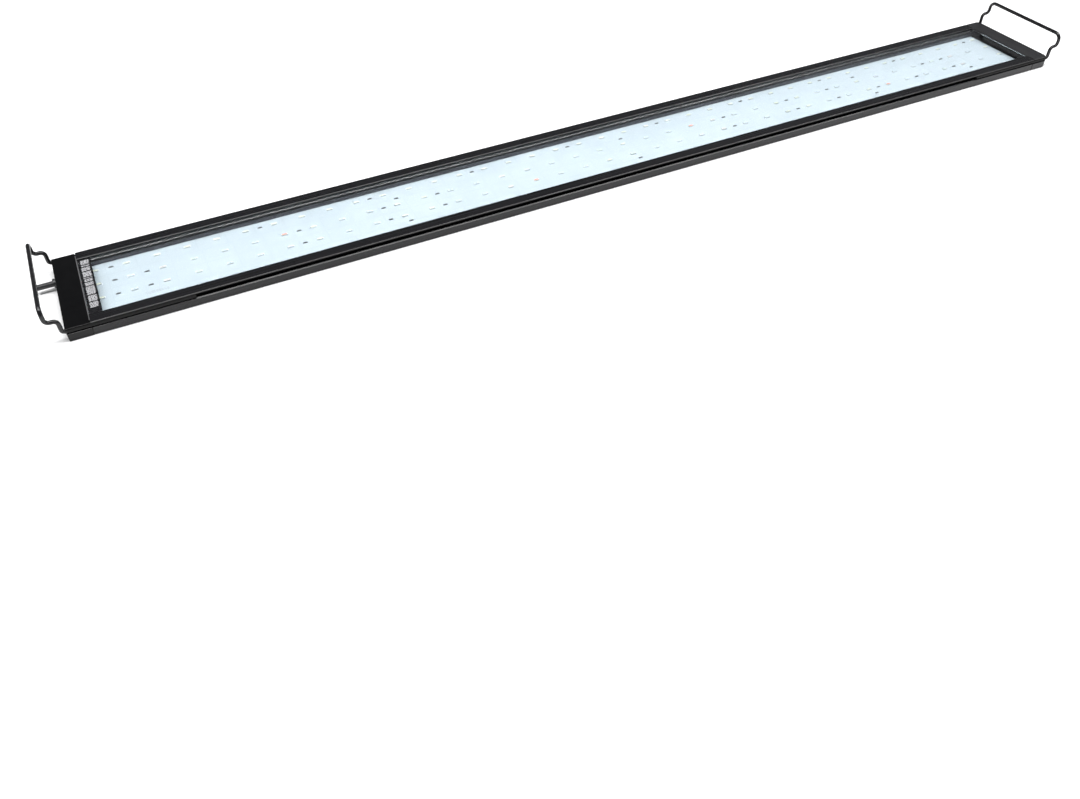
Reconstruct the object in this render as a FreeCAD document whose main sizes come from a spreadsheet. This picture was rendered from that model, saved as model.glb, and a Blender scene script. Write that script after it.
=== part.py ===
"""LED aquarium light: an extruded body lying on its back, LED side up.

Origin: centre of the flat back of the body. +X runs along the fixture to its plain end,
+Y to its far side and +Z out of the face that gives the light. Sizes are in millimetres.
"""

import FreeCAD, Part
import math
import os
import re
import Sketcher

OUT = "parts"
V = FreeCAD.Vector

DIMENSIONS = {
    # the whole body
    "body_length": 1126,
    "body_width": 113,
    "body_height": 14,
    "cap_length": 20.5,
    "gasket_thickness": 0.8,
    "gasket_inset": 0.4,
    # section of the extrusion
    "edge_radius": 1.8,
    "ridge_width": 1.5,
    "ridge_drop": 1.0,
    "rim_width": 0.3,
    "rim_drop": 0.2,
    "lip_width": 0.45,
    "lip_drop": 0.3,
    "window_width": 89,
    "lip_thickness": 1.0,
    "lens_groove": 3.0,
    "ledge_height": 9.7,
    "ledge_thickness": 1.1,
    "ledge_reach": 0.8,
    "ledge_width": 1.05,
    "ledge_drop": 0.7,
    "shelf_height": 7.4,
    "shelf_reach": 1.8,
    "shelf_groove": 0.5,
    "floor_thickness": 1.7,
    "board_groove": 0.9,
    "board_groove_top": 3.2,
    "slot_floor": 8.8,
    "slot_top": 12.9,
    "slot_depth": 4.1,
    "duct_inner": 46,
    "duct_outer": 54.7,
    "duct_floor": 1.8,
    "duct_top": 7.9,
    # cooling grooves along the back
    "groove_width": 1.6,
    "groove_depth": 0.6,
    "groove_first": 16,
    "groove_pitch": 4,
    # end caps and their screws
    "inlet_cap_height": 13.4,
    "cap_wall": 2.0,
    "cap_corner": 5,
    "cap_edge": 0.6,
    "window_edge": 0.6,
    "foot_reach": 4,
    "foot_corner": 7,
    "cap_back_edge": 0.8,
    "cap_hollow_width": 84,
    "cap_hollow_top": 11,
    "screw_line": 50.35,
    "screw_height": 4.0,
    "boss_width": 5.4,
    "boss_top": 6.6,
    "screw_core": 1.25,
    "screw_bore": 1.3,
    "screw_hole": 1.6,
    "screw_length": 34,
    "head_radius": 2.3,
    "head_length": 1.8,
    "head_recess": 2.6,
    "recess_depth": 2.6,
    "driver_width": 0.6,
    "driver_reach": 2.8,
    "driver_depth": 0.9,
    "head_sink": 0.4,
    # lens, its seals and the strip stuck on it
    "lens_thickness": 1.5,
    "lens_width": 93,
    "lens_gap": 1.0,
    "lens_edge": 0.3,
    "lens_clearance": 0.1,
    "seal_start": 44.8,
    "seal_width": 2.0,
    "label_start": 1.4,
    "label_length": 11,
    "label_width": 87,
    "label_thickness": 0.1,
    # board and what is soldered on it
    "tape_thickness": 0.1,
    "tape_width": 80,
    "board_thickness": 1.2,
    "board_gap_left": 5.5,
    "board_gap_right": 1.0,
    "board_clearance": 0.1,
    "grid_shift": 2.5,
    "outer_pitch": 28,
    "outer_count": 39,
    "inner_count": 38,
    "row_pitch": 22.4,
    "led_length": 5.7,
    "led_width": 3.0,
    "led_height": 0.8,
    "resistor_length": 3.2,
    "resistor_width": 1.6,
    "resistor_height": 0.6,
    "side_row": 22.0,
    "side_shift": 3,
    "pad_length": 4,
    "pad_width": 2.6,
    "pad_height": 0.3,
    "pad_start": 1.0,
    "pad_line": 18,
    "pad_spacing": 5,
    # power inlet on the left cap
    "inlet_line": 26,
    "inlet_height": 7,
    "inlet_reach": 18,
    "sleeve_radius": 2.7,
    "barrel_radius": 2.4,
    "barrel_clearance": 0.05,
    "barrel_inside": 4,
    "socket_radius": 1.8,
    "socket_depth": 14,
    "contact_radius": 1.5,
    "contact_length": 12,
    "pin_radius": 0.6,
    "pin_recess": 1.0,
    "pin_tail": 2.5,
    "collar_radius": 4.4,
    "collar_length": 2.6,
    "nut_radius": 4.4,
    "nut_length": 2.2,
    "lead_radius": 0.8,
    "lead_bend": 2.2,
    "lead_spacing": 2.2,
    "lead_gap": 0.3,
    "lead_straight": 5,
    "lead_slope_end": 7,
    "lead_landing": 1,
    # wire brackets
    "wire_diameter": 3.9,
    "arm_spacing": 110,
    "arm_inside": 110,
    "first_riser": 2.4,
    "second_riser": 12,
    "step_height": 23.4,
    "bar_height": 36.8,
    "exit_bend": 2.4,
    "wire_bend": 4,
    "bar_bend": 7,
}

doc = FreeCAD.newDocument("AquariumLight")
sheet = doc.addObject("Spreadsheet::Sheet", "Sheet")
for line, (alias, number) in enumerate(DIMENSIONS.items(), start=1):
    sheet.set(f"A{line}", alias)
    sheet.set(f"B{line}", str(number))
    sheet.setAlias(f"B{line}", alias)
doc.recompute()

# Places that several pieces share, as formulas of the sheet's names.
HALF = "body_width / 2"
WINDOW = "window_width / 2"
SLOT_WALL = "(body_width / 2 - slot_depth)"
CHANNEL = "(body_length / 2 - cap_length)"
HOUSING_END = f"({CHANNEL} - gasket_thickness)"
LIP_UNDERSIDE = "(body_height - lip_thickness)"
LEDGE_UNDERSIDE = "(ledge_height - ledge_thickness)"
LEDGE_NOSE = "(window_width / 2 - ledge_reach)"
LENS_TOP = f"({LIP_UNDERSIDE} - lens_clearance)"
LENS_BOTTOM = f"({LENS_TOP} - lens_thickness)"
BOARD_BOTTOM = "(floor_thickness + tape_thickness)"
BOARD_TOP = f"({BOARD_BOTTOM} + board_thickness)"
BOARD_START = f"(-{CHANNEL} + board_gap_left)"
BOARD_END = f"({CHANNEL} - board_gap_right)"
INLET_WALL = "(body_length / 2 - cap_wall)"


# ---------------------------------------------------------------- helpers

def formula(text):
    """Text with each name of the sheet written the way an expression needs it."""
    return re.sub(r"[a-z]\w+", lambda word: "Sheet." + word.group(0), str(text))


def value(text):
    """The number that a formula gives now."""
    return float(sheet.evalExpression(formula(text)))


def bind(thing, path, text):
    """Tie one property to the sheet."""
    thing.setExpression(path, formula(text))


def new_body(node):
    body = doc.addObject("PartDesign::Body", node)
    body.Label = node
    return body


def draw_polygon(sketch, points):
    """A closed polygon whose every corner is tied to the sheet."""
    places = [V(value(u), value(v), 0) for u, v in points]
    first = sketch.GeometryCount
    count = len(points)
    sides = [Part.LineSegment(places[i], places[(i + 1) % count]) for i in range(count)]
    sketch.addGeometry(sides)
    for i, corner in enumerate(points):
        following = first + (i + 1) % count
        sketch.addConstraint(Sketcher.Constraint("Coincident", first + i, 2, following, 1))
        for kind, text in zip(("DistanceX", "DistanceY"), corner):
            tie = Sketcher.Constraint(kind, -1, 1, first + i, 1, value(text))
            bind(sketch, f"Constraints[{sketch.addConstraint(tie)}]", text)


def draw_circle(sketch, u, v, radius):
    """A circle whose centre and radius are tied to the sheet."""
    circle = Part.Circle(V(value(u), value(v), 0), V(0, 0, 1), value(radius))
    index = sketch.addGeometry(circle)
    for kind, text in (("DistanceX", u), ("DistanceY", v)):
        tie = Sketcher.Constraint(kind, -1, 1, index, 3, value(text))
        bind(sketch, f"Constraints[{sketch.addConstraint(tie)}]", text)
    size = Sketcher.Constraint("Radius", index, value(radius))
    bind(sketch, f"Constraints[{sketch.addConstraint(size)}]", radius)


def new_sketch(body, name, plane, at, polygons, circles):
    """A sketch on one of the body's own origin planes, moved along its normal to at."""
    sketch = body.newObject("Sketcher::SketchObject", name)
    support = [face for face in body.Origin.OriginFeatures if face.Role == plane][0]
    sketch.AttachmentSupport = [(support, "")]
    sketch.MapMode = "FlatFace"
    bind(sketch, "AttachmentOffset.Base.z", at)
    for points in polygons:
        draw_polygon(sketch, points)
    for centre_u, centre_v, radius in circles:
        draw_circle(sketch, centre_u, centre_v, radius)
    return sketch


def pad(body, name, plane, at, length, polygons=(), circles=()):
    """Adds what the sketch encloses, from at along the plane's normal."""
    feature = body.newObject("PartDesign::Pad", name)
    feature.Profile = new_sketch(body, name + "Sketch", plane, at, polygons, circles)
    bind(feature, "Length", length)
    doc.recompute()
    body.Tip = feature
    return feature


def pocket(body, name, plane, at, length, polygons=(), circles=()):
    """Takes away what the sketch encloses, from at along the plane's normal."""
    before = body.Shape.Volume
    feature = body.newObject("PartDesign::Pocket", name)
    feature.Profile = new_sketch(body, name + "Sketch", plane, at, polygons, circles)
    feature.Reversed = True
    bind(feature, "Length", length)
    doc.recompute()
    body.Tip = feature
    if body.Shape.Volume >= before:
        raise RuntimeError(f"{body.Label}: {name} takes nothing away")
    return feature


def round_edges(body, name, radius, wanted):
    """Rounds the edges that wanted picks by their bounding box."""
    base = body.Tip
    edges = [f"Edge{i}" for i, e in enumerate(base.Shape.Edges, start=1) if wanted(e.BoundBox)]
    feature = body.newObject("PartDesign::Fillet", name)
    feature.Base = (base, edges)
    bind(feature, "Radius", radius)
    doc.recompute()
    body.Tip = feature
    return feature


def near(a, b):
    return abs(a - b) < 0.01


def rectangle(low_u, high_u, low_v, high_v):
    return [(low_u, low_v), (high_u, low_v), (high_u, high_v), (low_u, high_v)]


def both_sides(points):
    """One closed outline from the corners of its +Y half and their mirror images."""
    return points + [(f"-({u})", v) for u, v in reversed(points)]


def mirrored(points):
    """The same outline on the -Y side."""
    return [(f"-({u})", v) for u, v in reversed(points)]


def slab(node, x_range, y_range, z_range):
    """A flat piece: a rectangle in plan, padded up."""
    body = new_body(node)
    low, high = z_range
    outline = rectangle(*x_range, *y_range)
    pad(body, node + "Pad", "XY_Plane", low, f"({high}) - ({low})", [outline])
    return body


def rod(node, start, length, y, z, radius, bore=None):
    """A round piece along X, solid or with a bore right through."""
    body = new_body(node)
    circles = [(y, z, radius)]
    if bore:
        circles.append((y, z, bore))
    pad(body, node + "Pad", "YZ_Plane", start, length, circles=circles)
    return body


def group(node, pieces):
    """One node that holds several separate solids."""
    compound = doc.addObject("Part::Compound", node)
    compound.Label = node
    compound.Links = pieces
    return compound


def chip(name, size, centre, bottom):
    """A small box with its middle over centre and its underside at bottom."""
    box = doc.addObject("Part::Box", name)
    for side, text in zip(("Length", "Width", "Height"), size):
        bind(box, side, text)
    bind(box, "Placement.Base.x", f"{centre[0]} - ({size[0]}) / 2")
    bind(box, "Placement.Base.y", f"{centre[1]} - ({size[1]}) / 2")
    bind(box, "Placement.Base.z", bottom)
    return box


def rounded_path(points, radii):
    """Straight runs joined by tangent arcs, one radius for each inner point."""
    edges = []
    start = points[0]
    for before, corner, after, radius in zip(points, points[1:], points[2:], radii):
        back = (before - corner).normalize()
        ahead = (after - corner).normalize()
        half_angle = back.getAngle(ahead) / 2
        reach = radius / math.tan(half_angle)
        centre = corner + (back + ahead).normalize() * (radius / math.sin(half_angle))
        enter = corner + back * reach
        leave = corner + ahead * reach
        middle = centre + (corner - centre).normalize() * radius
        edges.append(Part.LineSegment(start, enter).toShape())
        edges.append(Part.Arc(enter, middle, leave).toShape())
        start = leave
    edges.append(Part.LineSegment(start, points[-1]).toShape())
    return Part.Wire(edges)


def wire_piece(node, points, radii, radius):
    """Round wire along a path, as one solid."""
    path = rounded_path(points, radii)
    ring = Part.Wire(Part.makeCircle(radius, points[0], points[1] - points[0]))
    solid = path.makePipeShell([ring], True, False)
    expected = math.pi * radius**2 * path.Length
    if abs(solid.Volume - expected) > 0.01 * expected:
        raise RuntimeError(f"{node}: the wire's volume is wrong")
    piece = doc.addObject("Part::Feature", node)
    piece.Label = node
    piece.Shape = solid
    piece.Placement = FreeCAD.Placement()
    return piece


# ---------------------------------------------------------------- housing

def long_edge(y, *heights):
    """Picks the edges along X at y on both sides, at any of the heights."""
    side = value(y)
    levels = [value(height) for height in heights]

    def wanted(box):
        beside = near(abs(box.YMin), side) and near(abs(box.YMax), side)
        level = near(box.ZLength, 0) and any(near(box.ZMin, height) for height in levels)
        return box.XLength > 1 and beside and level

    return wanted


def housing_half():
    """Corners of the +Y half of the section, from the back edge to the channel's floor."""
    lens_side = f"{WINDOW} + lens_groove"
    board_side = f"{WINDOW} + board_groove"
    return [
        (HALF, "0"),
        (HALF, "slot_floor - ridge_drop"),
        (f"{HALF} - ridge_width", "slot_floor"),
        (SLOT_WALL, "slot_floor"),
        (SLOT_WALL, "slot_top"),
        (HALF, "slot_top"),
        (HALF, "body_height - rim_drop"),
        (f"{HALF} - rim_width", "body_height"),
        (f"{WINDOW} + lip_width", "body_height"),
        (WINDOW, "body_height - lip_drop"),
        (WINDOW, LIP_UNDERSIDE),
        (lens_side, LIP_UNDERSIDE),
        (lens_side, "ledge_height"),
        (f"{LEDGE_NOSE} + ledge_width", "ledge_height"),
        (LEDGE_NOSE, "ledge_height - ledge_drop"),
        (LEDGE_NOSE, LEDGE_UNDERSIDE),
        (f"{WINDOW} + shelf_groove", LEDGE_UNDERSIDE),
        (f"{WINDOW} + shelf_groove", "shelf_height"),
        (f"{WINDOW} - shelf_reach", "shelf_height"),
        (f"{WINDOW} - shelf_reach", "board_groove_top"),
        (board_side, "board_groove_top"),
        (board_side, "floor_thickness"),
    ]


def duct():
    """The closed duct beside the channel, with the screw boss standing on its floor."""
    boss_inner = "screw_line - boss_width / 2"
    boss_outer = "screw_line + boss_width / 2"
    return [
        ("duct_inner", "duct_floor"),
        (boss_inner, "duct_floor"),
        (boss_inner, "boss_top"),
        (boss_outer, "boss_top"),
        (boss_outer, "duct_floor"),
        ("duct_outer", "duct_floor"),
        ("duct_outer", "duct_top"),
        ("duct_inner", "duct_top"),
    ]


def cooling_grooves():
    """Shallow grooves on the back, on both sides of its flat middle."""
    span = value(f"{SLOT_WALL} - groove_first - groove_width")
    count = int(span / value("groove_pitch")) + 1
    outlines = []
    for index in range(count):
        low = f"groove_first + {index} * groove_pitch"
        groove = rectangle(low, f"{low} + groove_width", "0", "groove_depth")
        outlines += [groove, mirrored(groove)]
    return outlines


def make_housing():
    body = new_body("housing")
    length = f"2 * {HOUSING_END}"
    section = [both_sides(housing_half()), duct(), mirrored(duct())]
    bores = [(side + "screw_line", "screw_height", "screw_bore") for side in ("", "-")]
    pad(body, "Section", "YZ_Plane", f"-{HOUSING_END}", length, section, bores)
    pocket(body, "Grooves", "YZ_Plane", f"-{HOUSING_END}", length, cooling_grooves())
    round_edges(body, "BackEdges", "edge_radius", long_edge(HALF, "0"))
    return body


# ---------------------------------------------------------------- end caps

def cap_block(node, inner_x, height):
    """The cap before its hollow: the body's outline, cap_length long, from inner_x."""
    body = new_body(node)
    outline = rectangle(f"-{HALF}", HALF, "0", height)
    pad(body, node + "Block", "YZ_Plane", inner_x, "cap_length", [outline])
    return body


def above_ridge(top):
    """Outline of what the bevel takes off the ridge, from its inner edge out past the side."""
    return [
        (f"{HALF} - ridge_width", "slot_floor"),
        (f"{HALF} + ridge_width", "slot_floor - 2 * ridge_drop"),
        (f"{HALF} + ridge_width", top),
    ]


def cut_cap(body, inner_x, outer_x, low_x, foot="0"):
    """The hollow behind the end wall, screw holes and head recesses.

    low_x is the lower of the cap's two ends; inner_x faces the extrusion. foot is how far
    the cap's lower half stands out beyond outer_x.
    """
    hollow = rectangle("-cap_hollow_width / 2", "cap_hollow_width / 2", "cap_wall", "cap_hollow_top")
    plus = value(outer_x) > value(inner_x)
    hollow_x = inner_x if plus else f"{outer_x} + cap_wall"
    pocket(body, "Hollow", "YZ_Plane", hollow_x, "cap_length - cap_wall", [hollow])
    places = [(side + "screw_line", "screw_height") for side in ("", "-")]
    holes = [(y, z, "screw_hole") for y, z in places]
    pocket(body, "ScrewHoles", "YZ_Plane", low_x, f"cap_length + {foot}", circles=holes)
    recess_x = f"{outer_x} - recess_depth" if plus else outer_x
    recesses = [(y, z, "head_recess") for y, z in places]
    recess_length = f"recess_depth + {foot}"
    pocket(body, "HeadRecesses", "YZ_Plane", recess_x, recess_length, circles=recesses)


def rounded_away(inner_x, top, radius):
    """Outline of what rounding takes off an edge along Y; the rest lies towards +X."""
    steps = 6
    corners = [(inner_x, top)]
    for step in range(steps + 1):
        turn = math.radians(90 * step / steps)
        corners.append((f"{inner_x} + {radius} * {1 - math.sin(turn):.6f}",
                        f"{top} - {radius} * {1 - math.cos(turn):.6f}"))
    return corners


def make_plain_cap():
    """The cap at +X: a plate level with the extrusion's lips over a longer rounded foot.

    The foot, the core between the slots and the plate are stacked, which leaves the slots.
    """
    inner = CHANNEL
    outer = "body_length / 2"
    foot_end = f"({outer} + foot_reach)"
    body = new_body("end_cap_plain")
    foot = rectangle(inner, foot_end, f"-{HALF}", HALF)
    pad(body, "Foot", "XY_Plane", "0", "slot_floor", [foot])
    inner_x, outer_x, foot_x = value(inner), value(outer), value(foot_end)
    top = value("body_height")

    def foot_corner(box):
        return near(box.XMin, foot_x) and near(box.XLength, 0) and near(box.YLength, 0)

    def back_rim(box):
        return near(box.ZMax, 0) and box.XMax > inner_x + 1

    def plate_corner(box):
        upright = near(box.XLength, 0) and near(box.YLength, 0)
        return near(box.XMin, outer_x) and upright and near(box.ZMax, top)

    def face_rim(box):
        return near(box.ZMin, top) and box.XMax > inner_x + 1

    round_edges(body, "FootCorners", "foot_corner", foot_corner)
    round_edges(body, "BackRim", "edge_radius", back_rim)
    core = rectangle(inner, f"{outer} - cap_edge", f"-{SLOT_WALL}", SLOT_WALL)
    pad(body, "Core", "XY_Plane", "slot_floor", "slot_top - slot_floor", [core])
    plate = rectangle(inner, outer, f"-{HALF}", HALF)
    pad(body, "Plate", "XY_Plane", "slot_top", "body_height - slot_top", [plate])
    round_edges(body, "PlateCorners", "cap_corner", plate_corner)
    round_edges(body, "FaceRim", "cap_edge", face_rim)
    bevel = above_ridge("slot_floor + ridge_drop")
    pocket(body, "Ridges", "YZ_Plane", inner, "cap_length + foot_reach", [bevel, mirrored(bevel)])
    cut_cap(body, inner, outer, inner, "foot_reach")
    edge = rounded_away(inner, "body_height", "window_edge")
    pocket(body, "WindowEdge", "XZ_Plane", f"-{WINDOW}", "window_width", [edge])
    return body


def make_inlet_cap():
    """The cap at -X: square corners, slightly lower than the extrusion, with the inlet hole."""
    inner = f"-{CHANNEL}"
    outer = "-body_length / 2"
    body = cap_block("end_cap_inlet", outer, "inlet_cap_height")
    outer_x = value(outer)
    top = value("inlet_cap_height")

    def outer_rim(box):
        at_end = near(box.XMin, outer_x) and near(box.XLength, 0)
        long_top = near(box.ZMin, top) and near(box.YLength, 0)
        return at_end or long_top

    def back_rim(box):
        return near(box.ZMax, 0) and box.XMin < outer_x + 1

    round_edges(body, "BackRim", "cap_back_edge", back_rim)
    round_edges(body, "OuterRim", "cap_edge", outer_rim)
    slot = [(SLOT_WALL, "slot_floor"), *above_ridge("slot_top"), (SLOT_WALL, "slot_top")]
    pocket(body, "Slots", "YZ_Plane", outer, "cap_length", [slot, mirrored(slot)])
    cut_cap(body, inner, outer, outer)
    hole = [("inlet_line", "inlet_height", "barrel_radius + barrel_clearance")]
    pocket(body, "InletHole", "YZ_Plane", outer, "cap_wall", circles=hole)
    return body


def make_gasket(node, start, height):
    """A flat gasket between the extrusion's end and a cap, open where the cap is hollow."""
    body = new_body(node)
    outline = both_sides([
        (f"{HALF} - edge_radius", "gasket_inset"),
        (f"{HALF} - gasket_inset", "edge_radius"),
        (f"{HALF} - gasket_inset", "slot_floor - ridge_drop - gasket_inset"),
        (f"{HALF} - ridge_width - gasket_inset", "slot_floor - gasket_inset"),
        (f"{SLOT_WALL} - gasket_inset", "slot_floor - gasket_inset"),
        (f"{SLOT_WALL} - gasket_inset", f"{height} - gasket_inset / 2"),
    ])
    hollow = rectangle("-cap_hollow_width / 2", "cap_hollow_width / 2", "cap_wall", "cap_hollow_top")
    screws = [(side + "screw_line", "screw_height", "screw_hole") for side in ("", "-")]
    pad(body, node + "Pad", "YZ_Plane", start, "gasket_thickness", [outline, hollow], screws)
    return body


def make_screw(name, direction, y):
    """A self-tapping screw along X with a cross recess; its head faces direction."""
    outward = 1 if direction == "+" else -1
    face = "body_length / 2 - head_sink"
    head_face = f"{outward} * ({face})"
    head_back = f"{outward} * ({face} - head_length)"
    tip = f"{outward} * ({face} - screw_length)"
    head_x, shank_x = (head_back, tip) if outward > 0 else (head_face, head_back)
    body = new_body(name)
    height = "screw_height"
    pad(body, name + "Head", "YZ_Plane", head_x, "head_length", circles=[(y, height, "head_radius")])
    shank = "screw_length - head_length"
    pad(body, name + "Shank", "YZ_Plane", shank_x, shank, circles=[(y, height, "screw_core")])
    driver_x = f"{head_face} - driver_depth" if outward > 0 else head_face
    wide, narrow = "driver_reach / 2", "driver_width / 2"
    for part, (reach_y, reach_z) in (("A", (wide, narrow)), ("B", (narrow, wide))):
        slot = rectangle(f"{y} - {reach_y}", f"{y} + {reach_y}",
                         f"{height} - {reach_z}", f"{height} + {reach_z}")
        pocket(body, name + "Driver" + part, "YZ_Plane", driver_x, "driver_depth", [slot])
    return body


def make_cap_screws(node, direction):
    """The near and the far screw of one cap, as one node."""
    near_screw = make_screw(node + "_near", direction, "-screw_line")
    far_screw = make_screw(node + "_far", direction, "screw_line")
    return group(node, [near_screw, far_screw])


# ---------------------------------------------------------------- lens and board

def make_lens():
    end = f"({CHANNEL} - lens_gap)"
    half = "lens_width / 2"
    body = slab("lens", (f"-{end}", end), (f"-{half}", half), (LENS_BOTTOM, LENS_TOP))
    top = value(LENS_TOP)
    round_edges(body, "PolishedEdges", "lens_edge", lambda box: near(box.ZMin, top))
    return body


def make_lens_seals():
    """A silicone strip on each ledge, under the long edge of the lens."""
    end = f"({CHANNEL} - lens_gap)"
    inner, outer = "seal_start", "seal_start + seal_width"
    height = ("ledge_height", LENS_BOTTOM)
    near_side = slab("lens_seal_near", (f"-{end}", end), (f"-({outer})", f"-({inner})"), height)
    far_side = slab("lens_seal_far", (f"-{end}", end), (inner, outer), height)
    return [near_side, far_side]


def make_label():
    """A plain strip on the lens at the inlet end."""
    start = f"(-{CHANNEL} + label_start)"
    half = "label_width / 2"
    height = (LENS_TOP, f"{LENS_TOP} + label_thickness")
    return slab("label_strip", (start, f"{start} + label_length"), (f"-{half}", half), height)


def make_board():
    """The board, slid in the two grooves at the channel's floor, and the tape under it."""
    half = f"({WINDOW} + board_groove - board_clearance)"
    along = (BOARD_START, BOARD_END)
    board = slab("led_board", along, (f"-{half}", half), (BOARD_BOTTOM, BOARD_TOP))
    tape_half = "tape_width / 2"
    under = ("floor_thickness", BOARD_BOTTOM)
    tape = slab("thermal_tape", along, (f"-{tape_half}", tape_half), under)
    return [board, tape]


# ---------------------------------------------------------------- LEDs and resistors

# Rows are counted from the near side, columns from the +X end. The two outer rows have
# 39 columns and the two inner rows 38 columns over the same length.
NEAR_OUTER, NEAR_INNER, FAR_INNER, FAR_OUTER = 1, 2, 3, 4


def row_y(row):
    return f"({row} - 2.5) * row_pitch"


def column_x(row, column):
    count = "outer_count" if row in (NEAR_OUTER, FAR_OUTER) else "inner_count"
    span = "((outer_count - 1) * outer_pitch)"
    return f"grid_shift + {span} / 2 - ({column} - 1) * {span} / ({count} - 1)"


def led_columns():
    """Colour group to the list of its (row, column) places."""
    inner_rows = (NEAR_INNER, FAR_INNER)
    outer_rows = (NEAR_OUTER, FAR_OUTER)
    blue = [2, 37] + [column for first in range(5, 34, 4) for column in (first, first + 1)]
    near_red, far_red = (7, 23), (16, 32)
    groups = {
        "leds_white_outer": [(row, column) for row in outer_rows for column in range(1, 40)],
        "leds_white_inner": [(row, column) for row in inner_rows
                             for column in (1, 8, 11, 12, 27, 28, 31, 38)],
        "leds_blue": [(row, column) for row in inner_rows for column in blue],
        "leds_deep_red": [(row, column) for row in inner_rows for column in (3, 15, 24, 36)],
        "leds_red": [(NEAR_INNER, column) for column in near_red],
        "leds_green": [(row, column) for row in inner_rows for column in (4, 35)],
        "leds_violet": [(FAR_INNER, column) for column in near_red],
    }
    groups["leds_red"] += [(FAR_INNER, column) for column in far_red]
    groups["leds_violet"] += [(NEAR_INNER, column) for column in far_red]
    groups["leds_white_inner"] += [(FAR_INNER, 19), (NEAR_INNER, 20)]
    groups["leds_green"] += [(NEAR_INNER, 19), (FAR_INNER, 20)]
    return groups


def make_leds():
    size = ("led_length", "led_width", "led_height")
    for node, places in led_columns().items():
        pieces = []
        for index, (row, column) in enumerate(places, start=1):
            centre = (column_x(row, column), row_y(row))
            pieces.append(chip(f"{node}_{index}", size, centre, BOARD_TOP))
        group(node, pieces)


def make_resistors():
    """Chip resistors, most of them halfway between two LEDs of a row."""
    between = {
        NEAR_OUTER: [1, 5, 9, 13, 17, 21, 25, 29, 33, 38],
        NEAR_INNER: [3, 5, 7, 9, 11, 14, 26, 28, 31, 36, 37],
        FAR_INNER: [3, 4, 9, 11, 14, 26, 28, 31, 36, 37],
        FAR_OUTER: [1, 5, 9, 13, 17, 21, 25, 29, 33, 38],
    }
    centres = []
    for row, columns in between.items():
        centres += [(column_x(row, column + 0.5), row_y(row)) for column in columns]
    for column, sides in ((3, "-"), (8, "-+"), (19, "-+"), (28, "-+")):
        along = f"{column_x(NEAR_INNER, column)} + side_shift"
        centres += [(along, f"{side}side_row") for side in sides]
    size = ("resistor_length", "resistor_width", "resistor_height")
    group("resistors", [chip(f"resistor_{index}", size, centre, BOARD_TOP)
                        for index, centre in enumerate(centres, start=1)])


# ---------------------------------------------------------------- power inlet and its leads

def pad_centre(side):
    """Middle of the solder pad for one lead: side is -1 near, +1 far."""
    return (f"{BOARD_START} + pad_start + pad_length / 2", f"pad_line + {side} * pad_spacing / 2")


def make_solder_pads():
    size = ("pad_length", "pad_width", "pad_height")
    group("solder_pads", [chip(f"solder_pad_{index}", size, pad_centre(side), BOARD_TOP)
                          for index, side in enumerate((-1, 1), start=1)])


def make_inlet():
    """Socket sleeve whose narrower barrel goes through the cap's end wall to a lock nut."""
    face = "-body_length / 2"
    tip = f"({face} - inlet_reach)"
    shoulder = f"({face} - collar_length)"
    place = ("inlet_line", "inlet_height")
    sleeve = rod("inlet_sleeve", tip, "inlet_reach - collar_length", *place, "sleeve_radius")
    barrel_length = "collar_length + cap_wall + barrel_inside"
    barrel = [(*place, "barrel_radius")]
    pad(sleeve, "Barrel", "YZ_Plane", shoulder, barrel_length, circles=barrel)
    socket = [(*place, "socket_radius")]
    pocket(sleeve, "Socket", "YZ_Plane", tip, "socket_depth", circles=socket)
    whole_length = "inlet_reach + cap_wall + barrel_inside"
    pin_hole = [(*place, "pin_radius")]
    pocket(sleeve, "PinHole", "YZ_Plane", tip, whole_length, circles=pin_hole)
    rod("inlet_collar", shoulder, "collar_length", *place, "collar_radius", "barrel_radius")
    contact_start = f"{tip} + socket_depth - contact_length"
    rod("inlet_contact", contact_start, "contact_length", *place, "socket_radius", "contact_radius")
    pin_length = f"{whole_length} - pin_recess + pin_tail"
    rod("inlet_pin", f"{tip} + pin_recess", pin_length, *place, "pin_radius")
    nut = new_body("inlet_lock_nut")
    corners = []
    for index in range(6):
        turn = math.radians(60 * index)
        corners.append((f"inlet_line + nut_radius * {math.cos(turn):.6f}",
                        f"inlet_height + nut_radius * {math.sin(turn):.6f}"))
    pad(nut, "NutPad", "YZ_Plane", f"-{INLET_WALL}", "nut_length", [corners], barrel)


def make_lead(node, side):
    """An insulated lead from the back of the inlet, through the cap's hollow, to its pad."""
    radius = value("lead_radius")
    start_x = value(f"-{INLET_WALL} + barrel_inside + pin_tail + lead_gap")
    start_y = value("inlet_line") + side * value("lead_spacing")
    height = value("inlet_height")
    pad_x, pad_y = (value(text) for text in pad_centre(side))
    landing = value(f"{BOARD_TOP} + pad_height") + radius
    points = [
        V(start_x, start_y, height),
        V(start_x + value("lead_straight"), start_y, height),
        V(value(f"{BOARD_START} - lead_slope_end"), pad_y, landing),
        V(pad_x + value("lead_landing"), pad_y, landing),
    ]
    bend = value("lead_bend")
    return wire_piece(node, points, [bend, bend], radius)


# ---------------------------------------------------------------- wire brackets

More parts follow.
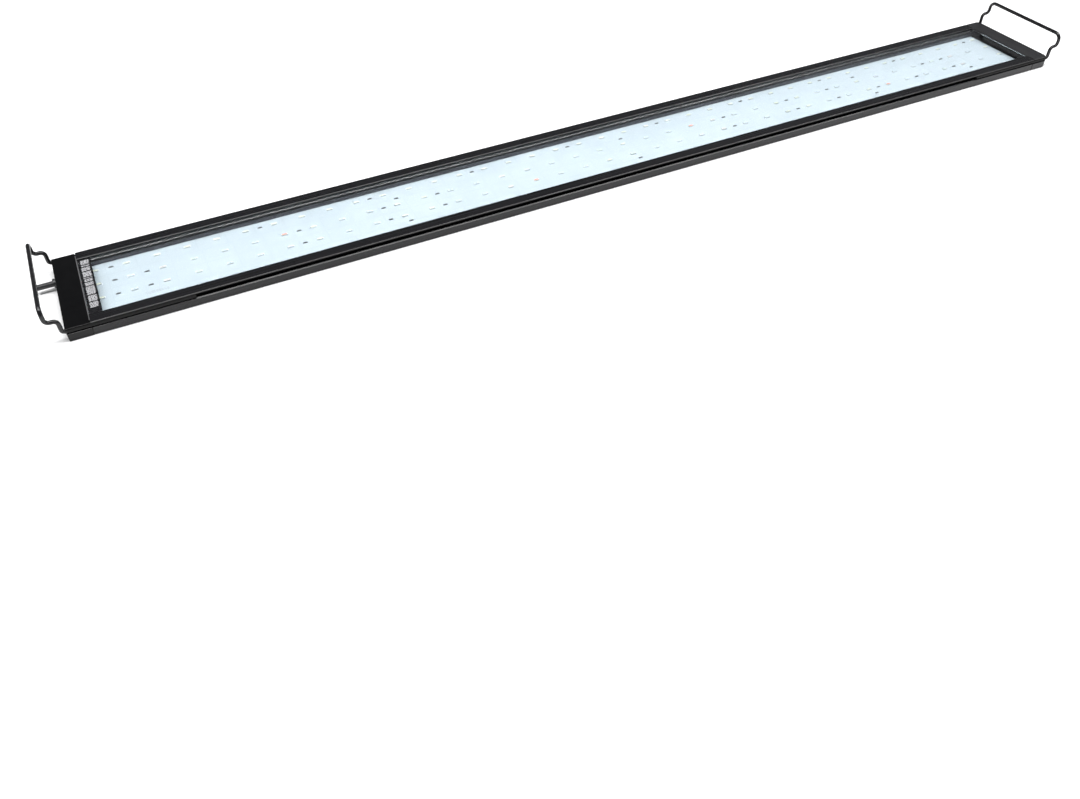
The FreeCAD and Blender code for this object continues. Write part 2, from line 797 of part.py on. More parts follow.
def make_bracket(node, side):
    """A wire bracket: two arms in the side slots, a step up at each and a bar across."""
    end = value("body_length") / 2
    arm_y = value("arm_spacing") / 2
    slot_z = value("(slot_floor + slot_top) / 2")
    inner_x = side * (end - value("arm_inside"))
    first_x = side * (end + value("first_riser"))
    second_x = side * (end + value("second_riser"))
    step_z, bar_z = value("step_height"), value("bar_height")
    near_arm = [
        V(inner_x, -arm_y, slot_z),
        V(first_x, -arm_y, slot_z),
        V(first_x, -arm_y, step_z),
        V(second_x, -arm_y, step_z),
        V(second_x, -arm_y, bar_z),
    ]
    far_arm = [V(point.x, -point.y, point.z) for point in reversed(near_arm)]
    exit_bend, bend, bar_bend = value("exit_bend"), value("wire_bend"), value("bar_bend")
    half_radii = [exit_bend, bend, bend, bar_bend]
    radii = half_radii + half_radii[::-1]
    return wire_piece(node, near_arm + far_arm, radii, value("wire_diameter") / 2)


# ---------------------------------------------------------------- the whole fixture

def make_all():
    make_housing()
    make_plain_cap()
    make_inlet_cap()
    make_gasket("gasket_left", f"-{CHANNEL}", "inlet_cap_height")
    make_gasket("gasket_right", HOUSING_END, "body_height")
    make_cap_screws("cap_screws_left", "-")
    make_cap_screws("cap_screws_right", "+")
    make_lens()
    make_lens_seals()
    make_label()
    make_board()
    make_leds()
    make_resistors()
    make_solder_pads()
    make_inlet()
    make_lead("lead_negative", -1)
    make_lead("lead_positive", 1)
    make_bracket("bracket_left", -1)
    make_bracket("bracket_right", 1)


NODES = [
    "housing", "end_cap_plain", "end_cap_inlet", "gasket_left", "gasket_right",
    "cap_screws_left", "cap_screws_right", "lens", "lens_seal_near", "lens_seal_far",
    "label_strip", "led_board", "thermal_tape", "leds_white_outer", "leds_white_inner",
    "leds_blue", "leds_red", "leds_deep_red", "leds_green", "leds_violet", "resistors",
    "solder_pads", "inlet_sleeve", "inlet_collar", "inlet_contact", "inlet_pin",
    "inlet_lock_nut", "lead_negative", "lead_positive", "bracket_left", "bracket_right",
]


def export_all():
    """Checks every object and writes each sub-part, only if all of them are sound."""
    doc.recompute()
    for thing in doc.Objects:
        if "Invalid" in thing.State or "Error" in thing.State:
            raise RuntimeError(f"{thing.Label} failed: {thing.State}")
    pieces = {node: doc.getObjectsByLabel(node)[0] for node in NODES}
    for node, piece in pieces.items():
        if piece.Shape.isNull() or not piece.Shape.isValid():
            raise RuntimeError(f"{node} has no valid shape")
    os.makedirs(OUT, exist_ok=True)
    for node, piece in pieces.items():
        piece.Shape.exportStep(os.path.join(OUT, node + ".step"))
        print(f"{node}: {len(piece.Shape.Solids)} solids, {piece.Shape.Volume / 1000:.2f} cm3")


make_all()
export_all()
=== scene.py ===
"""The looks of an LED aquarium light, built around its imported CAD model. Lengths are in metres."""

import math
import random

import bmesh
import bpy
from mathutils import Matrix, Vector


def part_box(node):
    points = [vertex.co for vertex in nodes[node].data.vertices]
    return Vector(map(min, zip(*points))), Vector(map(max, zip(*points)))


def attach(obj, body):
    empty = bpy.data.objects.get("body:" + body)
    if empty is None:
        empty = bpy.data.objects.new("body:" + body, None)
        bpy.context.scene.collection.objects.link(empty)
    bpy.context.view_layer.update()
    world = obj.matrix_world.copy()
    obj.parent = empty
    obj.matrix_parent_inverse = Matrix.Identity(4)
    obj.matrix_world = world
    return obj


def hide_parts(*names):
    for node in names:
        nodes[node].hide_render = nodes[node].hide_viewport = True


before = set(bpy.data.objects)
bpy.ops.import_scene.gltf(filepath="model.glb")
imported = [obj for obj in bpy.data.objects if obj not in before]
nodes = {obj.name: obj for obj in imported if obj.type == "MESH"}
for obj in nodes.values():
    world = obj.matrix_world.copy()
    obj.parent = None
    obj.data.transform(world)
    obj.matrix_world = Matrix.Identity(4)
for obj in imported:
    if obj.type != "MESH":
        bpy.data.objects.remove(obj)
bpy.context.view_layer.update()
random.seed(7)
MM = 0.001


# ---------------------------------------------------------------- node helpers

class Shader:
    """A material's node tree with one Principled shader, and short ways to add to it.

    A value given to a socket is a plain number, a colour of three numbers, or a node's output.
    """

    def __init__(self, name):
        self.material = bpy.data.materials.new(name)
        self.material.use_nodes = True
        self.tree = self.material.node_tree
        self.shader = self.tree.nodes["Principled BSDF"]
        self.coordinates = self.tree.nodes.new("ShaderNodeTexCoord").outputs["Object"]

    def node(self, kind, **settings):
        made = self.tree.nodes.new("ShaderNode" + kind)
        for key, setting in settings.items():
            setattr(made, key, setting)
        return made

    def link(self, output, socket):
        self.tree.links.new(output, socket)

    def feed(self, socket, value):
        """Sets a plain value on a socket, or links an output to it."""
        if isinstance(value, tuple):
            socket.default_value = (*value, 1)
        elif isinstance(value, (int, float)):
            socket.default_value = value
        else:
            self.link(value, socket)

    def set(self, **values):
        """Values for the shader's own sockets: base_color goes to Base Color."""
        for key, value in values.items():
            title = key.replace("_", " ").title().replace("Ior", "IOR")
            self.feed(self.shader.inputs[title], value)

    def stretched(self, scale):
        """Object coordinates with each axis scaled on its own."""
        mapping = self.node("Mapping")
        mapping.inputs["Scale"].default_value = scale
        self.link(self.coordinates, mapping.inputs["Vector"])
        return mapping.outputs["Vector"]

    def noise(self, scale, detail=3.0, roughness=0.5, stretch=(1, 1, 1)):
        made = self.node("TexNoise")
        made.inputs["Scale"].default_value = scale
        made.inputs["Detail"].default_value = detail
        made.inputs["Roughness"].default_value = roughness
        self.link(self.stretched(stretch), made.inputs["Vector"])
        return made.outputs["Fac"]

    def arithmetic(self, operation, *terms):
        made = self.node("Math", operation=operation)
        for socket, term in zip(made.inputs, terms):
            self.feed(socket, term)
        return made.outputs["Value"]

    def distance(self, axis):
        """How far a point is from the origin along one axis, without its sign."""
        parts = self.node("SeparateXYZ")
        self.link(self.coordinates, parts.inputs["Vector"])
        return self.arithmetic("ABSOLUTE", parts.outputs[axis])

    def span(self, factor, low, high, start=0.3, end=0.7):
        """A number between low and high, as factor goes from start to end."""
        made = self.node("MapRange")
        self.feed(made.inputs["From Min"], start)
        self.feed(made.inputs["From Max"], end)
        self.feed(made.inputs["To Min"], low)
        self.feed(made.inputs["To Max"], high)
        self.feed(made.inputs["Value"], factor)
        return made.outputs["Result"]

    def blend(self, factor, first, second, start=0.3, end=0.7):
        """A colour between first and second, as factor goes from start to end."""
        made = self.node("Mix", data_type="RGBA")
        colours = [socket for socket in made.inputs if socket.type == "RGBA"]
        for socket, colour in zip(colours, (first, second)):
            self.feed(socket, colour)
        self.feed(made.inputs["Factor"], self.span(factor, 0, 1, start, end))
        return [socket for socket in made.outputs if socket.type == "RGBA"][0]

    def bump(self, *layers):
        """Bump from (height, depth in metres) layers, one on another."""
        before = None
        for height, depth in layers:
            made = self.node("Bump")
            made.inputs["Distance"].default_value = depth
            made.inputs["Strength"].default_value = 1.0
            self.link(height, made.inputs["Height"])
            if before:
                self.link(before, made.inputs["Normal"])
            before = made.outputs["Normal"]
        self.link(before, self.shader.inputs["Normal"])


# ---------------------------------------------------------------- materials

def anodised():
    """Black anodised extrusion: fine die lines along X over a bead-blasted grain.

    The low walls beside the board, between the floor and the shelf, are painted a lighter blue-grey:
    painted light from the white board beside them.
    """
    board_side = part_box("led_board")[1].y
    floor_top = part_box("thermal_tape")[0].z
    shelf_top = 7.4 * MM
    made = Shader("black_anodised")
    lines = made.noise(1.0, 4, 0.6, (6, 900, 900))
    patches = made.noise(14, 3)
    grain = made.noise(2600, 2)
    outside = made.blend(lines, (0.0042, 0.0042, 0.005), (0.008, 0.008, 0.0092))
    # painted light: a lighter blue-grey for the low walls, standing in for the light the white board
    # throws on them
    painted_board_light_colour = made.blend(lines, (0.038, 0.038, 0.045), (0.051, 0.051, 0.060))
    near_board = made.span(made.distance("Y"), 1, 0, board_side + 0.2 * MM, board_side + 0.6 * MM)
    below_shelf = made.span(made.distance("Z"), 1, 0, shelf_top - 0.4 * MM, shelf_top - 0.2 * MM)
    above_back = made.span(made.distance("Z"), 0, 1, floor_top - 0.3 * MM, floor_top - 0.1 * MM)
    # where the painted board light goes: the low walls beside the board, below the shelf and above
    # the back
    beside_board = made.arithmetic("MULTIPLY", near_board, below_shelf)
    painted_board_light_mask = made.arithmetic("MULTIPLY", beside_board, above_back)
    made.set(
        base_color=made.blend(painted_board_light_mask, outside, painted_board_light_colour, 0, 1),
        roughness=made.arithmetic("ADD", made.span(lines, 0.23, 0.31),
                                  made.span(patches, -0.03, 0.05)),
        specular_ior_level=0.38,
    )
    made.bump((lines, 4e-6), (grain, 3e-6))
    return made.material


def gloss_cap():
    """Gloss black moulding with slight waviness and a few dull patches."""
    made = Shader("gloss_black_moulding")
    waves = made.noise(45, 2)
    dull = made.noise(90, 4, 0.65)
    made.set(
        base_color=made.blend(dull, (0.0009, 0.0009, 0.0011), (0.0018, 0.0018, 0.0021)),
        roughness=made.span(dull, 0.11, 0.21),
        specular_ior_level=0.30,
    )
    made.bump((waves, 2e-5), (made.noise(1800, 2), 1.2e-6))
    return made.material


def satin_cap():
    """Satin black moulding with a spark-eroded texture."""
    made = Shader("satin_black_moulding")
    texture = made.noise(2200, 3, 0.6)
    tone = made.noise(30, 3)
    made.set(
        base_color=made.blend(tone, (0.009, 0.009, 0.0098), (0.014, 0.014, 0.0155)),
        roughness=made.span(texture, 0.34, 0.48),
        specular_ior_level=0.44,
    )
    made.bump((texture, 8e-6))
    return made.material


def lacquer_wire():
    """Bent steel wire under gloss black lacquer, matt where it slides in its slot and painted near
    black there: painted shade of the slot.
    """
    slot_end = -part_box("end_cap_inlet")[0].x
    made = Shader("black_lacquered_wire")
    runs = made.noise(260, 3, 0.55)
    lacquer = made.blend(made.noise(120, 4), (0.006, 0.006, 0.007), (0.013, 0.013, 0.014))
    # painted shade: the wire inside the slot is coloured near black for the shade it lies in
    painted_slot_shade = (0.001, 0.001, 0.001)
    outside_slot = made.span(made.distance("X"), 0, 1, slot_end - 2 * MM, slot_end + 1 * MM)
    made.set(
        base_color=made.blend(outside_slot, painted_slot_shade, lacquer, 0, 1),
        roughness=made.span(outside_slot, 0.8, made.span(runs, 0.16, 0.28), 0, 1),
        specular_ior_level=0.42,
    )
    made.bump((runs, 1.4e-5), (made.noise(2500, 2), 1.5e-6))
    return made.material


def gasket_painted_highlight():
    """Rubber sheet along the joint's face: its grey is a painted highlight, the light line along the
    joint, and it turns black at its two ends.
    """
    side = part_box("gasket_left")[1].y
    made = Shader("gasket_painted_highlight")
    speckle = made.noise(900, 3)
    # painted highlight: the grey stands in for the light line that catches along the joint
    grey = made.blend(speckle, (0.07, 0.07, 0.073), (0.11, 0.11, 0.114))
    black = (0.008, 0.008, 0.009)
    made.set(
        base_color=made.blend(made.distance("Y"), grey, black, side - 2.1 * MM, side - 1.5 * MM),
        roughness=made.span(speckle, 0.54, 0.66),
    )
    made.bump((speckle, 6e-6))
    return made.material


def rubber(name, dark, light, roughness):
    """Rubber or cable sheath with a fine speckle."""
    made = Shader(name)
    speckle = made.noise(900, 3)
    made.set(
        base_color=made.blend(speckle, dark, light),
        roughness=made.span(speckle, roughness - 0.06, roughness + 0.06),
    )
    made.bump((speckle, 6e-6))
    return made.material


def metal(name, dark, light, roughness, stretch=(1, 1, 1)):
    """Bare or plated metal with streaks, which stretch turns into tool marks."""
    made = Shader(name)
    streaks = made.noise(700, 3, 0.6, stretch)
    made.set(
        metallic=1.0,
        base_color=made.blend(streaks, dark, light),
        roughness=made.span(streaks, roughness - 0.07, roughness + 0.07),
    )
    made.bump((streaks, 4e-6))
    return made.material


def plastic(name, dark, light, roughness, scale=400):
    """Moulded plastic, film or ink with a slight unevenness of tone, gloss and surface."""
    made = Shader(name)
    tone = made.noise(scale, 3)
    made.set(
        base_color=made.blend(tone, dark, light),
        roughness=made.span(tone, roughness - 0.05, roughness + 0.06),
    )
    made.bump((tone, 4e-6))
    return made.material


def clear_lens():
    """Clear acrylic that lets the lamps' light through to the board."""
    made = Shader("clear_acrylic")
    made.set(base_color=(0.985, 0.995, 1.0), roughness=0.02, ior=1.49, transmission_weight=1.0)
    made.bump((made.noise(9, 2), 2e-6))
    straight = made.node("BsdfTransparent")
    straight.inputs["Color"].default_value = (0.94, 0.955, 0.965, 1)
    path = made.node("LightPath")
    either = made.node("MixShader")
    made.link(path.outputs["Is Shadow Ray"], either.inputs["Fac"])
    made.link(made.shader.outputs["BSDF"], either.inputs[1])
    made.link(straight.outputs["BSDF"], either.inputs[2])
    made.link(either.outputs["Shader"], made.tree.nodes["Material Output"].inputs["Surface"])
    return made.material


def board_mask():
    """White solder mask, faintly blue, with a slight orange-peel gloss."""
    made = Shader("white_solder_mask")
    cloud = made.noise(11, 3)
    peel = made.noise(700, 2)
    made.set(
        base_color=made.blend(cloud, (0.287, 0.331, 0.356), (0.308, 0.352, 0.378)),
        roughness=made.span(peel, 0.38, 0.5),
    )
    made.bump((peel, 4e-6), (cloud, 2e-5))
    return made.material


# ---------------------------------------------------------------- mesh helpers

def rounded_ring(half_x, half_y, z, radius, steps=3):
    """Corners of a rounded rectangle round the origin, counter-clockwise."""
    ring = []
    for quarter, (sign_x, sign_y) in enumerate(((1, 1), (-1, 1), (-1, -1), (1, -1))):
        for step in range(steps + 1):
            turn = math.radians(90) * (quarter + step / steps)
            ring.append(Vector((
                sign_x * (half_x - radius) + radius * math.cos(turn),
                sign_y * (half_y - radius) + radius * math.sin(turn),
                z,
            )))
    return ring


class Solid:
    """Vertices and faces of one small shape, gathered to be copied to many places."""

    def __init__(self):
        self.points, self.faces, self.slots = [], [], []

    def stack(self, rings, slot, top_slot=None, dome=0.0, shift=(0, 0, 0)):
        """A closed skin over rings from the first to the last, with a fan at each end."""
        count = len(rings[0])
        first = len(self.points)
        for ring in rings:
            self.points += [point + Vector(shift) for point in ring]
        for level in range(len(rings) - 1):
            low, high = first + level * count, first + (level + 1) * count
            for i in range(count):
                j = (i + 1) % count
                self.faces.append((low + i, low + j, high + j, high + i))
                self.slots.append(slot)
        self.fan(first, count, slot, turned=True)
        last = first + (len(rings) - 1) * count
        self.fan(last, count, slot if top_slot is None else top_slot, dome=dome)

    def fan(self, start, count, slot, turned=False, dome=0.0):
        """Triangles from a ring to its middle, raised by dome; turned faces them down."""
        rim = self.points[start:start + count]
        middle = sum(rim, Vector()) / count + Vector((0, 0, dome))
        self.points.append(middle)
        centre = len(self.points) - 1
        for i in range(count):
            a, b = start + i, start + (i + 1) % count
            self.faces.append((b, a, centre) if turned else (a, b, centre))
            self.slots.append(slot)


def mesh_object(name, points, faces, slots, materials):
    """A flat-shaded mesh object; slots holds each face's index in materials."""
    data = bpy.data.meshes.new(name)
    data.from_pydata(points, [], faces)
    for material in materials:
        data.materials.append(material)
    data.polygons.foreach_set("material_index", slots)
    data.polygons.foreach_set("use_smooth", [False] * len(faces))
    data.update()
    made = bpy.data.objects.new(name, data)
    bpy.context.scene.collection.objects.link(made)
    return made


def copies(name, solid, places, materials, turns=None):
    """One mesh object with the solid copied to every place."""
    points, faces, slots = [], [], []
    for index, place in enumerate(places):
        first = len(points)
        turn = Matrix.Rotation(turns[index], 3, "Z") if turns else Matrix.Identity(3)
        points += [turn @ point + place for point in solid.points]
        faces += [tuple(first + i for i in face) for face in solid.faces]
        slots += solid.slots
    return mesh_object(name, points, faces, slots, materials)


def bars(name, boxes, materials):
    """Thin flat boxes, each (low corner, high corner), as one mesh."""
    sides = ((3, 2, 1, 0), (4, 5, 6, 7), (0, 1, 5, 4), (1, 2, 6, 5), (2, 3, 7, 6), (3, 0, 4, 7))
    points, faces = [], []
    for low, high in boxes:
        first = len(points)
        for z in (low[2], high[2]):
            points += [Vector((low[0], low[1], z)), Vector((high[0], low[1], z)),
                       Vector((high[0], high[1], z)), Vector((low[0], high[1], z))]
        faces += [tuple(first + i for i in side) for side in sides]
    return mesh_object(name, points, faces, [0] * len(faces), materials)


def connected(start, waiting):
    """Takes the vertices that edges join to start out of waiting, and gives all their places."""
    places = [start.co.copy()]
    ahead = [start]
    while ahead:
        for edge in ahead.pop().link_edges:
            for vertex in edge.verts:
                if vertex in waiting:
                    waiting.remove(vertex)
                    ahead.append(vertex)
                    places.append(vertex.co.copy())
    return places


def solid_centres(name):
    """Middle of the underside of each separate solid in a CAD node, ordered along X then Y."""
    shape = bmesh.new()
    shape.from_mesh(nodes[name].data)
    bmesh.ops.remove_doubles(shape, verts=shape.verts, dist=1e-6)
    waiting = set(shape.verts)
    centres = []
    while waiting:
        corners = connected(waiting.pop(), waiting)
        low = Vector(min(c[axis] for c in corners) for axis in range(3))
        high = Vector(max(c[axis] for c in corners) for axis in range(3))
        centres.append(Vector(((low.x + high.x) / 2, (low.y + high.y) / 2, low.z)))
    shape.free()
    return sorted(centres, key=lambda c: (round(c.x, 5), c.y))


# ---------------------------------------------------------------- LEDs, resistors, pads

PACKAGE, GEL, TERMINAL, DIE = 0, 1, 2, 3
COATING, END = 0, 1
WHITE_GEL = ((0.44, 0.46, 0.35), (0.52, 0.54, 0.42), False)
LED_GELS = {
    # group: (dark and light tone of what fills the package, whether its die shows)
    "leds_white_outer": WHITE_GEL,
    "leds_white_inner": WHITE_GEL,
    "leds_blue": ((0.38, 0.44, 0.50), (0.45, 0.51, 0.57), True),
    "leds_red": ((0.56, 0.20, 0.14), (0.66, 0.27, 0.20), True),
    "leds_deep_red": ((0.45, 0.40, 0.39), (0.52, 0.47, 0.46), True),
    "leds_green": ((0.38, 0.45, 0.40), (0.45, 0.52, 0.47), True),
    "leds_violet": ((0.41, 0.42, 0.51), (0.48, 0.49, 0.58), True),
}


def led_shape(size, shows_die):
    """A surface-mount package: chamfered body, sloped recess, domed filling, two terminals."""
    half_x, half_y, height = size[0] / 2, size[1] / 2, size[2]
    rim, slope, chamfer = 0.42 * MM, 0.14 * MM, 0.07 * MM
    recess_x, recess_y = half_x - rim, half_y - rim
    solid = Solid()
    solid.stack([
        rounded_ring(half_x, half_y, 0, 0.12 * MM),
        rounded_ring(half_x, half_y, height - chamfer, 0.12 * MM),
        rounded_ring(half_x - chamfer, half_y - chamfer, height, 0.1 * MM),
        rounded_ring(recess_x, recess_y, height, 0.45 * MM),
        rounded_ring(recess_x - slope, recess_y - slope, height - slope, 0.4 * MM),
    ], PACKAGE, top_slot=GEL, dome=0.03 * MM)
    for side in (-1, 1):
        solid.stack([
            rounded_ring(0.5 * MM, 1.15 * MM, 0.02 * MM, 0.2 * MM),
            rounded_ring(0.42 * MM, 1.05 * MM, 0.1 * MM, 0.2 * MM),
            rounded_ring(0.16 * MM, 0.9 * MM, 0.34 * MM, 0.1 * MM),
        ], TERMINAL, dome=0.01 * MM, shift=(side * (half_x + 0.02 * MM), 0, 0))
    if shows_die:
        half_die, die_chamfer, die_corner = 0.36 * MM, 0.03 * MM, 0.04 * MM
        half_top = half_die - die_chamfer
        z = height - slope + 0.02 * MM
        solid.stack([
            rounded_ring(half_die, half_die, z, die_corner, 1),
            rounded_ring(half_top, half_top, z + die_chamfer, die_corner, 1),
        ], DIE)
    return solid


def make_leds(terminal):
    """The packages of each colour group, as large as that group's CAD solids."""
    body = plastic("led_package", (0.36, 0.395, 0.40), (0.42, 0.455, 0.46), 0.42)
    die = metal("led_die", (0.12, 0.12, 0.14), (0.2, 0.2, 0.23), 0.3)
    for group, (dark, light, shows_die) in LED_GELS.items():
        places = solid_centres(group)
        low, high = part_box(group)
        first_x = min(place.x for place in places)
        first_y = min(place.y for place in places)
        size = ((first_x - low.x) * 2, (first_y - low.y) * 2, high.z - low.z)
        filling = plastic(group + "_filling", dark, light, 0.22, scale=1500)
        materials = [body, filling, terminal, die]
        made = copies(group + "_detail", led_shape(size, shows_die), places, materials)
        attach(made, "fixture")
        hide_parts(group)


def make_resistors():
    """Chip resistors: a dark coated body between two tinned ends, soldered at both."""
    places = solid_centres("resistors")
    low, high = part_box("resistors")
    height = high.z - low.z
    half_x, half_y = 1.6 * MM, 0.8 * MM
    body_half_x, chamfer = half_x - 0.4 * MM, 0.06 * MM
    foot, shoulder, crown = 0.75 * MM, 0.5 * MM, 0.3 * MM
    solid = Solid()
    solid.stack([
        rounded_ring(body_half_x, half_y, 0, 0.08 * MM),
        rounded_ring(body_half_x, half_y, height - chamfer, 0.08 * MM),
        rounded_ring(body_half_x - chamfer, half_y - chamfer, height, 0.06 * MM),
    ], COATING)
    for side in (-1, 1):
        solid.stack([
            rounded_ring(foot, half_y, 0.02 * MM, 0.1 * MM),
            rounded_ring(shoulder, half_y - 0.02 * MM, 0.25 * MM, 0.08 * MM),
            rounded_ring(crown, half_y - 0.04 * MM, height - 0.02 * MM, 0.08 * MM),
        ], END, shift=(side * half_x, 0, 0))
    ends = metal("resistor_ends", (0.16, 0.165, 0.17), (0.24, 0.245, 0.25), 0.42)
    coating = plastic("resistor_coating", (0.06, 0.06, 0.064), (0.09, 0.09, 0.095), 0.4, scale=1500)
    askew = 0.04
    turns = [random.uniform(-askew, askew) for _ in places]
    made = copies("resistors_detail", solid, places, [coating, ends], turns)
    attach(made, "fixture")
    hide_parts("resistors")


def make_solder_pads(solder):
    """A smooth mound of solder on each pad, over the end of its lead."""
    half_x, half_y, corner, rise = 2.0 * MM, 1.35 * MM, 0.9 * MM, 1.5 * MM
    levels, level_turn = 8, math.radians(11.5)
    rings = []
    for level in range(levels):
        spread, lift = math.cos(level * level_turn), math.sin(level * level_turn)
        rings.append(rounded_ring(half_x * spread, half_y * spread, rise * lift, corner * spread, 5))
    solid = Solid()
    solid.stack(rings, 0, dome=0.03 * MM)
    made = copies("solder_pads_detail", solid, solid_centres("solder_pads"), [solder])
    made.data.shade_smooth()
    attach(made, "fixture")
    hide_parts("solder_pads")


# ---------------------------------------------------------------- print on the board and label

INK_HEIGHT = 0.02 * MM


def ink_bar(start_x, end_x, start_y, end_y, z):
    """Low and high corners of one printed bar that lies on z."""
    return (start_x, start_y, z), (end_x, end_y, z + INK_HEIGHT)


def make_board_print():
    """Faint copper outlines under the mask, and small plain marks beside and between the LEDs."""
    low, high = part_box("led_board")
    top = high.z
    rows = {}
    for group in LED_GELS:
        for place in solid_centres(group):
            rows.setdefault(round(place.y, 4), []).append(place.x)
    half_gap, gap_reach, gap_shift = 0.2 * MM, 9.4 * MM, 5.0 * MM
    half_mark, mark_reach, mark_shift = 0.08 * MM, 2.2 * MM, 2.25 * MM
    gaps, marks = [], []
    for y, xs in rows.items():
        xs.sort()
        for x, following in zip(xs, xs[1:]):
            gap_x = (x + following) / 2 - gap_shift
            gaps.append(ink_bar(gap_x - half_gap, gap_x + half_gap,
                                y - gap_reach, y + gap_reach, top))
        for x in xs:
            for mark_y in (y - mark_shift, y + mark_shift):
                marks.append(ink_bar(x - mark_reach, x + mark_reach,
                                     mark_y - half_mark, mark_y + half_mark, top))
    ys = sorted(rows)
    margin = 6 * MM
    for y, following in zip(ys, ys[1:]):
        gap_y = (y + following) / 2
        gaps.append(ink_bar(low.x + margin, high.x - margin,
                            gap_y - half_gap, gap_y + half_gap, top))
    lines, line_pitch, line_indent = 2, 2.2 * MM, 0.5 * MM
    dashes, dash_pitch, dash_height = 9, 2.3 * MM, 0.9 * MM
    first_x, first_y = low.x + 44 * MM, -22 * MM
    for line in range(lines):
        for dash in range(dashes):
            x = first_x + dash * dash_pitch + line * line_indent
            y = first_y - line * line_pitch
            length = (1.1 + 0.5 * (dash % 3)) * MM
            marks.append(ink_bar(x, x + length, y, y + dash_height, top))
    outline = plastic("mask_over_gap", (0.252, 0.296, 0.316), (0.272, 0.316, 0.336), 0.45)
    ink = plastic("grey_board_ink", (0.20, 0.215, 0.225), (0.28, 0.295, 0.31), 0.6)
    for name, boxes, material in (("board_copper_gaps", gaps, outline), ("board_marks", marks, ink)):
        made = bars(name, boxes, [material])
        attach(made, "fixture")


def make_label_print():
    """Blocks of short random strokes on the label strip, where such a strip is printed."""
    low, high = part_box("label_strip")
    top = high.z
    start_x, end_x = low.x + 1.7 * MM, low.x + 9.2 * MM
    stroke, row_pitch, block_gap, shortest = 0.62 * MM, 1.0 * MM, 1.5 * MM, 0.5 * MM
    block_rows = (7, 2, 6, 8, 1, 4, 5, 13, 9, 8)
    boxes = []
    y = high.y - 2 * MM
    for rows in block_rows:
        for _ in range(rows):
            x = start_x + random.uniform(0, 0.7) * MM
            while x < end_x - shortest:
                following = min(x + random.uniform(0.7, 2.8) * MM, end_x)
                boxes.append(ink_bar(x, following, y - stroke, y, top))
                x = following + random.uniform(0.3, 0.7) * MM
            y -= row_pitch
        y -= block_gap
    ink = plastic("pale_label_ink", (0.50, 0.50, 0.52), (0.64, 0.64, 0.66), 0.5, scale=1200)
    made = bars("label_print", boxes, [ink])
    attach(made, "fixture")


# ---------------------------------------------------------------- CAD nodes

SMOOTH_ANGLES = {
    # degrees: the nodes whose edges stay crisp where they turn by more than that
    25: ("housing", "end_cap_plain", "end_cap_inlet", "lens"),
    40: ("inlet_sleeve", "inlet_collar", "inlet_pin", "inlet_contact",
         "cap_screws_left", "cap_screws_right"),
    60: ("bracket_left", "bracket_right", "lead_negative", "lead_positive"),
}


def put(material, *names):
    """Gives CAD nodes their material."""
    for name in names:
        data = nodes[name].data
        data.materials.clear()
        data.materials.append(material)


def dress_cad_nodes():
    """Materials and smooth shading for the CAD nodes that stay."""
    film = plastic("black_label_film", (0.004, 0.004, 0.005), (0.008, 0.008, 0.009), 0.28)
    tape = plastic("grey_thermal_tape", (0.3, 0.31, 0.33), (0.38, 0.39, 0.41), 0.7)
    inlet = plastic("black_inlet_moulding", (0.012, 0.012, 0.013), (0.022, 0.022, 0.024), 0.32)
    seal = rubber("black_seal", (0.006, 0.006, 0.007), (0.012, 0.012, 0.013), 0.5)
    gasket = rubber("black_gasket", (0.006, 0.006, 0.007), (0.012, 0.012, 0.013), 0.6)
    black_lead = rubber("black_lead", (0.014, 0.014, 0.015), (0.022, 0.022, 0.023), 0.45)
    red_lead = rubber("red_lead", (0.42, 0.015, 0.012), (0.52, 0.025, 0.02), 0.45)
    steel = metal("screw_steel", (0.42, 0.42, 0.43), (0.6, 0.6, 0.61), 0.3)
    contact = metal("plated_contact", (0.62, 0.6, 0.56), (0.78, 0.76, 0.71), 0.22)
    brass = metal("turned_brass", (0.55, 0.40, 0.16), (0.72, 0.55, 0.25), 0.3, (1, 8, 8))
    put(anodised(), "housing")
    put(gloss_cap(), "end_cap_inlet")
    put(satin_cap(), "end_cap_plain")
    put(lacquer_wire(), "bracket_left", "bracket_right")
    put(clear_lens(), "lens")
    put(board_mask(), "led_board")
    put(film, "label_strip")
    put(tape, "thermal_tape")
    put(gasket_painted_highlight(), "gasket_left")
    put(gasket, "gasket_right")
    put(seal, "lens_seal_near", "lens_seal_far")
    put(inlet, "inlet_sleeve", "inlet_collar")
    put(steel, "cap_screws_left", "cap_screws_right")
    put(contact, "inlet_contact", "inlet_pin")
    put(brass, "inlet_lock_nut")
    put(black_lead, "lead_negative")
    put(red_lead, "lead_positive")
    for degrees, names in SMOOTH_ANGLES.items():
        for name in names:
            smooth_by_angle(nodes[name], degrees)


def smooth_by_angle(piece, degrees):
    """Smooth shading, with edges sharper than the angle left crisp."""
    piece.data.shade_smooth()
    piece.data.set_sharp_from_angle(angle=math.radians(degrees))


# ---------------------------------------------------------------- floor, lights and camera

CAMERA_PLACE = (-0.4618, -0.7886, 0.5269)
CAMERA_AZIMUTH, CAMERA_DOWN, CAMERA_ROLL = 25.0, 44.39, -1.22
CAMERA_LENS = 31.63
SENSOR_WIDTH = 36.0
NEAREST, FARTHEST = 0.01, 50
FLOOR_REACH = 9


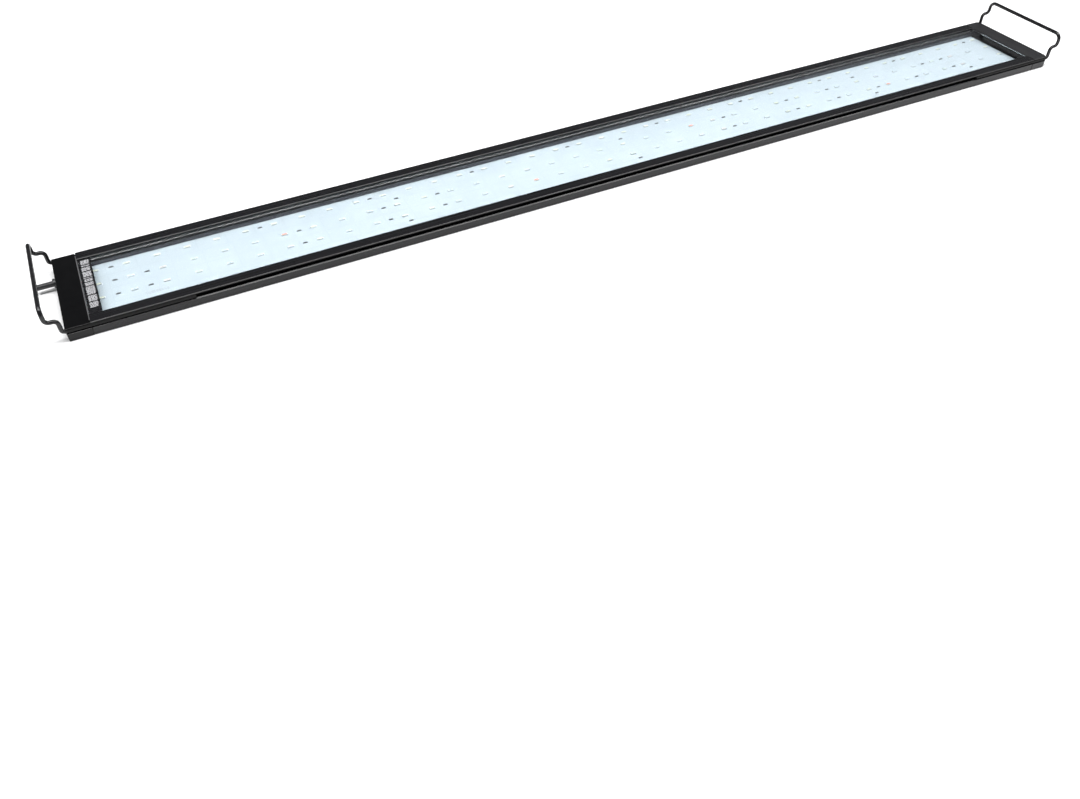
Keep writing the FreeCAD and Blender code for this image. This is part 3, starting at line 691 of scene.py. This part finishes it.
def make_camera():
    """A camera that looks down along the light from its near left."""
    data = bpy.data.cameras.new("camera")
    data.sensor_width = SENSOR_WIDTH
    data.lens = CAMERA_LENS
    data.clip_start, data.clip_end = NEAREST, FARTHEST
    made = bpy.data.objects.new("camera", data)
    bpy.context.scene.collection.objects.link(made)
    heading = Matrix.Rotation(math.radians(-CAMERA_AZIMUTH), 4, "Z")
    tilt = Matrix.Rotation(math.radians(90 - CAMERA_DOWN), 4, "X")
    roll = Matrix.Rotation(math.radians(CAMERA_ROLL), 4, "Z")
    made.matrix_world = Matrix.Translation(CAMERA_PLACE) @ heading @ tilt @ roll
    bpy.context.scene.camera = made


def soft_box(name, place, size, power):
    """A large rectangular lamp, which shines straight down because it isn't turned."""
    data = bpy.data.lights.new(name, "AREA")
    data.shape = "RECTANGLE"
    data.size, data.size_y = size
    data.energy = power
    made = bpy.data.objects.new(name, data)
    bpy.context.scene.collection.objects.link(made)
    made.location = place


def make_floor():
    """A wide plain floor, as low as the light's back."""
    signs = ((-1, -1), (1, -1), (1, 1), (-1, 1))
    corners = [Vector((x * FLOOR_REACH, y * FLOOR_REACH, 0)) for x, y in signs]
    pale = Shader("pale_floor")
    pale.set(
        base_color=pale.blend(pale.noise(1.5, 2), (0.93, 0.93, 0.93), (0.95, 0.95, 0.95)),
        roughness=0.9,
    )
    floor = mesh_object("floor", corners, [(0, 1, 2, 3)], [0], [pale.material])


def make_studio():
    """Two soft boxes overhead, a dim pale sky, and colours shown without a film look."""
    world = bpy.data.worlds.new("studio")
    world.use_nodes = True
    sky = world.node_tree.nodes["Background"]
    sky.inputs["Color"].default_value = (0.93, 0.96, 1.0, 1)
    sky.inputs["Strength"].default_value = 0.14
    bpy.context.scene.world = world
    soft_box("overhead", place=(0.65, 0.25, 2.6), size=(5.4, 1.8), power=106)
    soft_box("strip", place=(0.2, -0.52, 2.5), size=(4.6, 0.36), power=75)
    bpy.context.scene.view_settings.view_transform = "Standard"


# ---------------------------------------------------------------- the whole scene

def main():
    """Every material, piece, lamp and the camera, in the order in which they are made."""
    solder = metal("solder", (0.58, 0.59, 0.61), (0.74, 0.75, 0.77), 0.24)
    terminal = metal("tinned_terminal", (0.52, 0.53, 0.55), (0.72, 0.73, 0.75), 0.34)
    dress_cad_nodes()
    make_leds(terminal)
    make_resistors()
    make_solder_pads(solder)
    make_board_print()
    make_label_print()
    make_floor()
    make_studio()
    make_camera()


main()
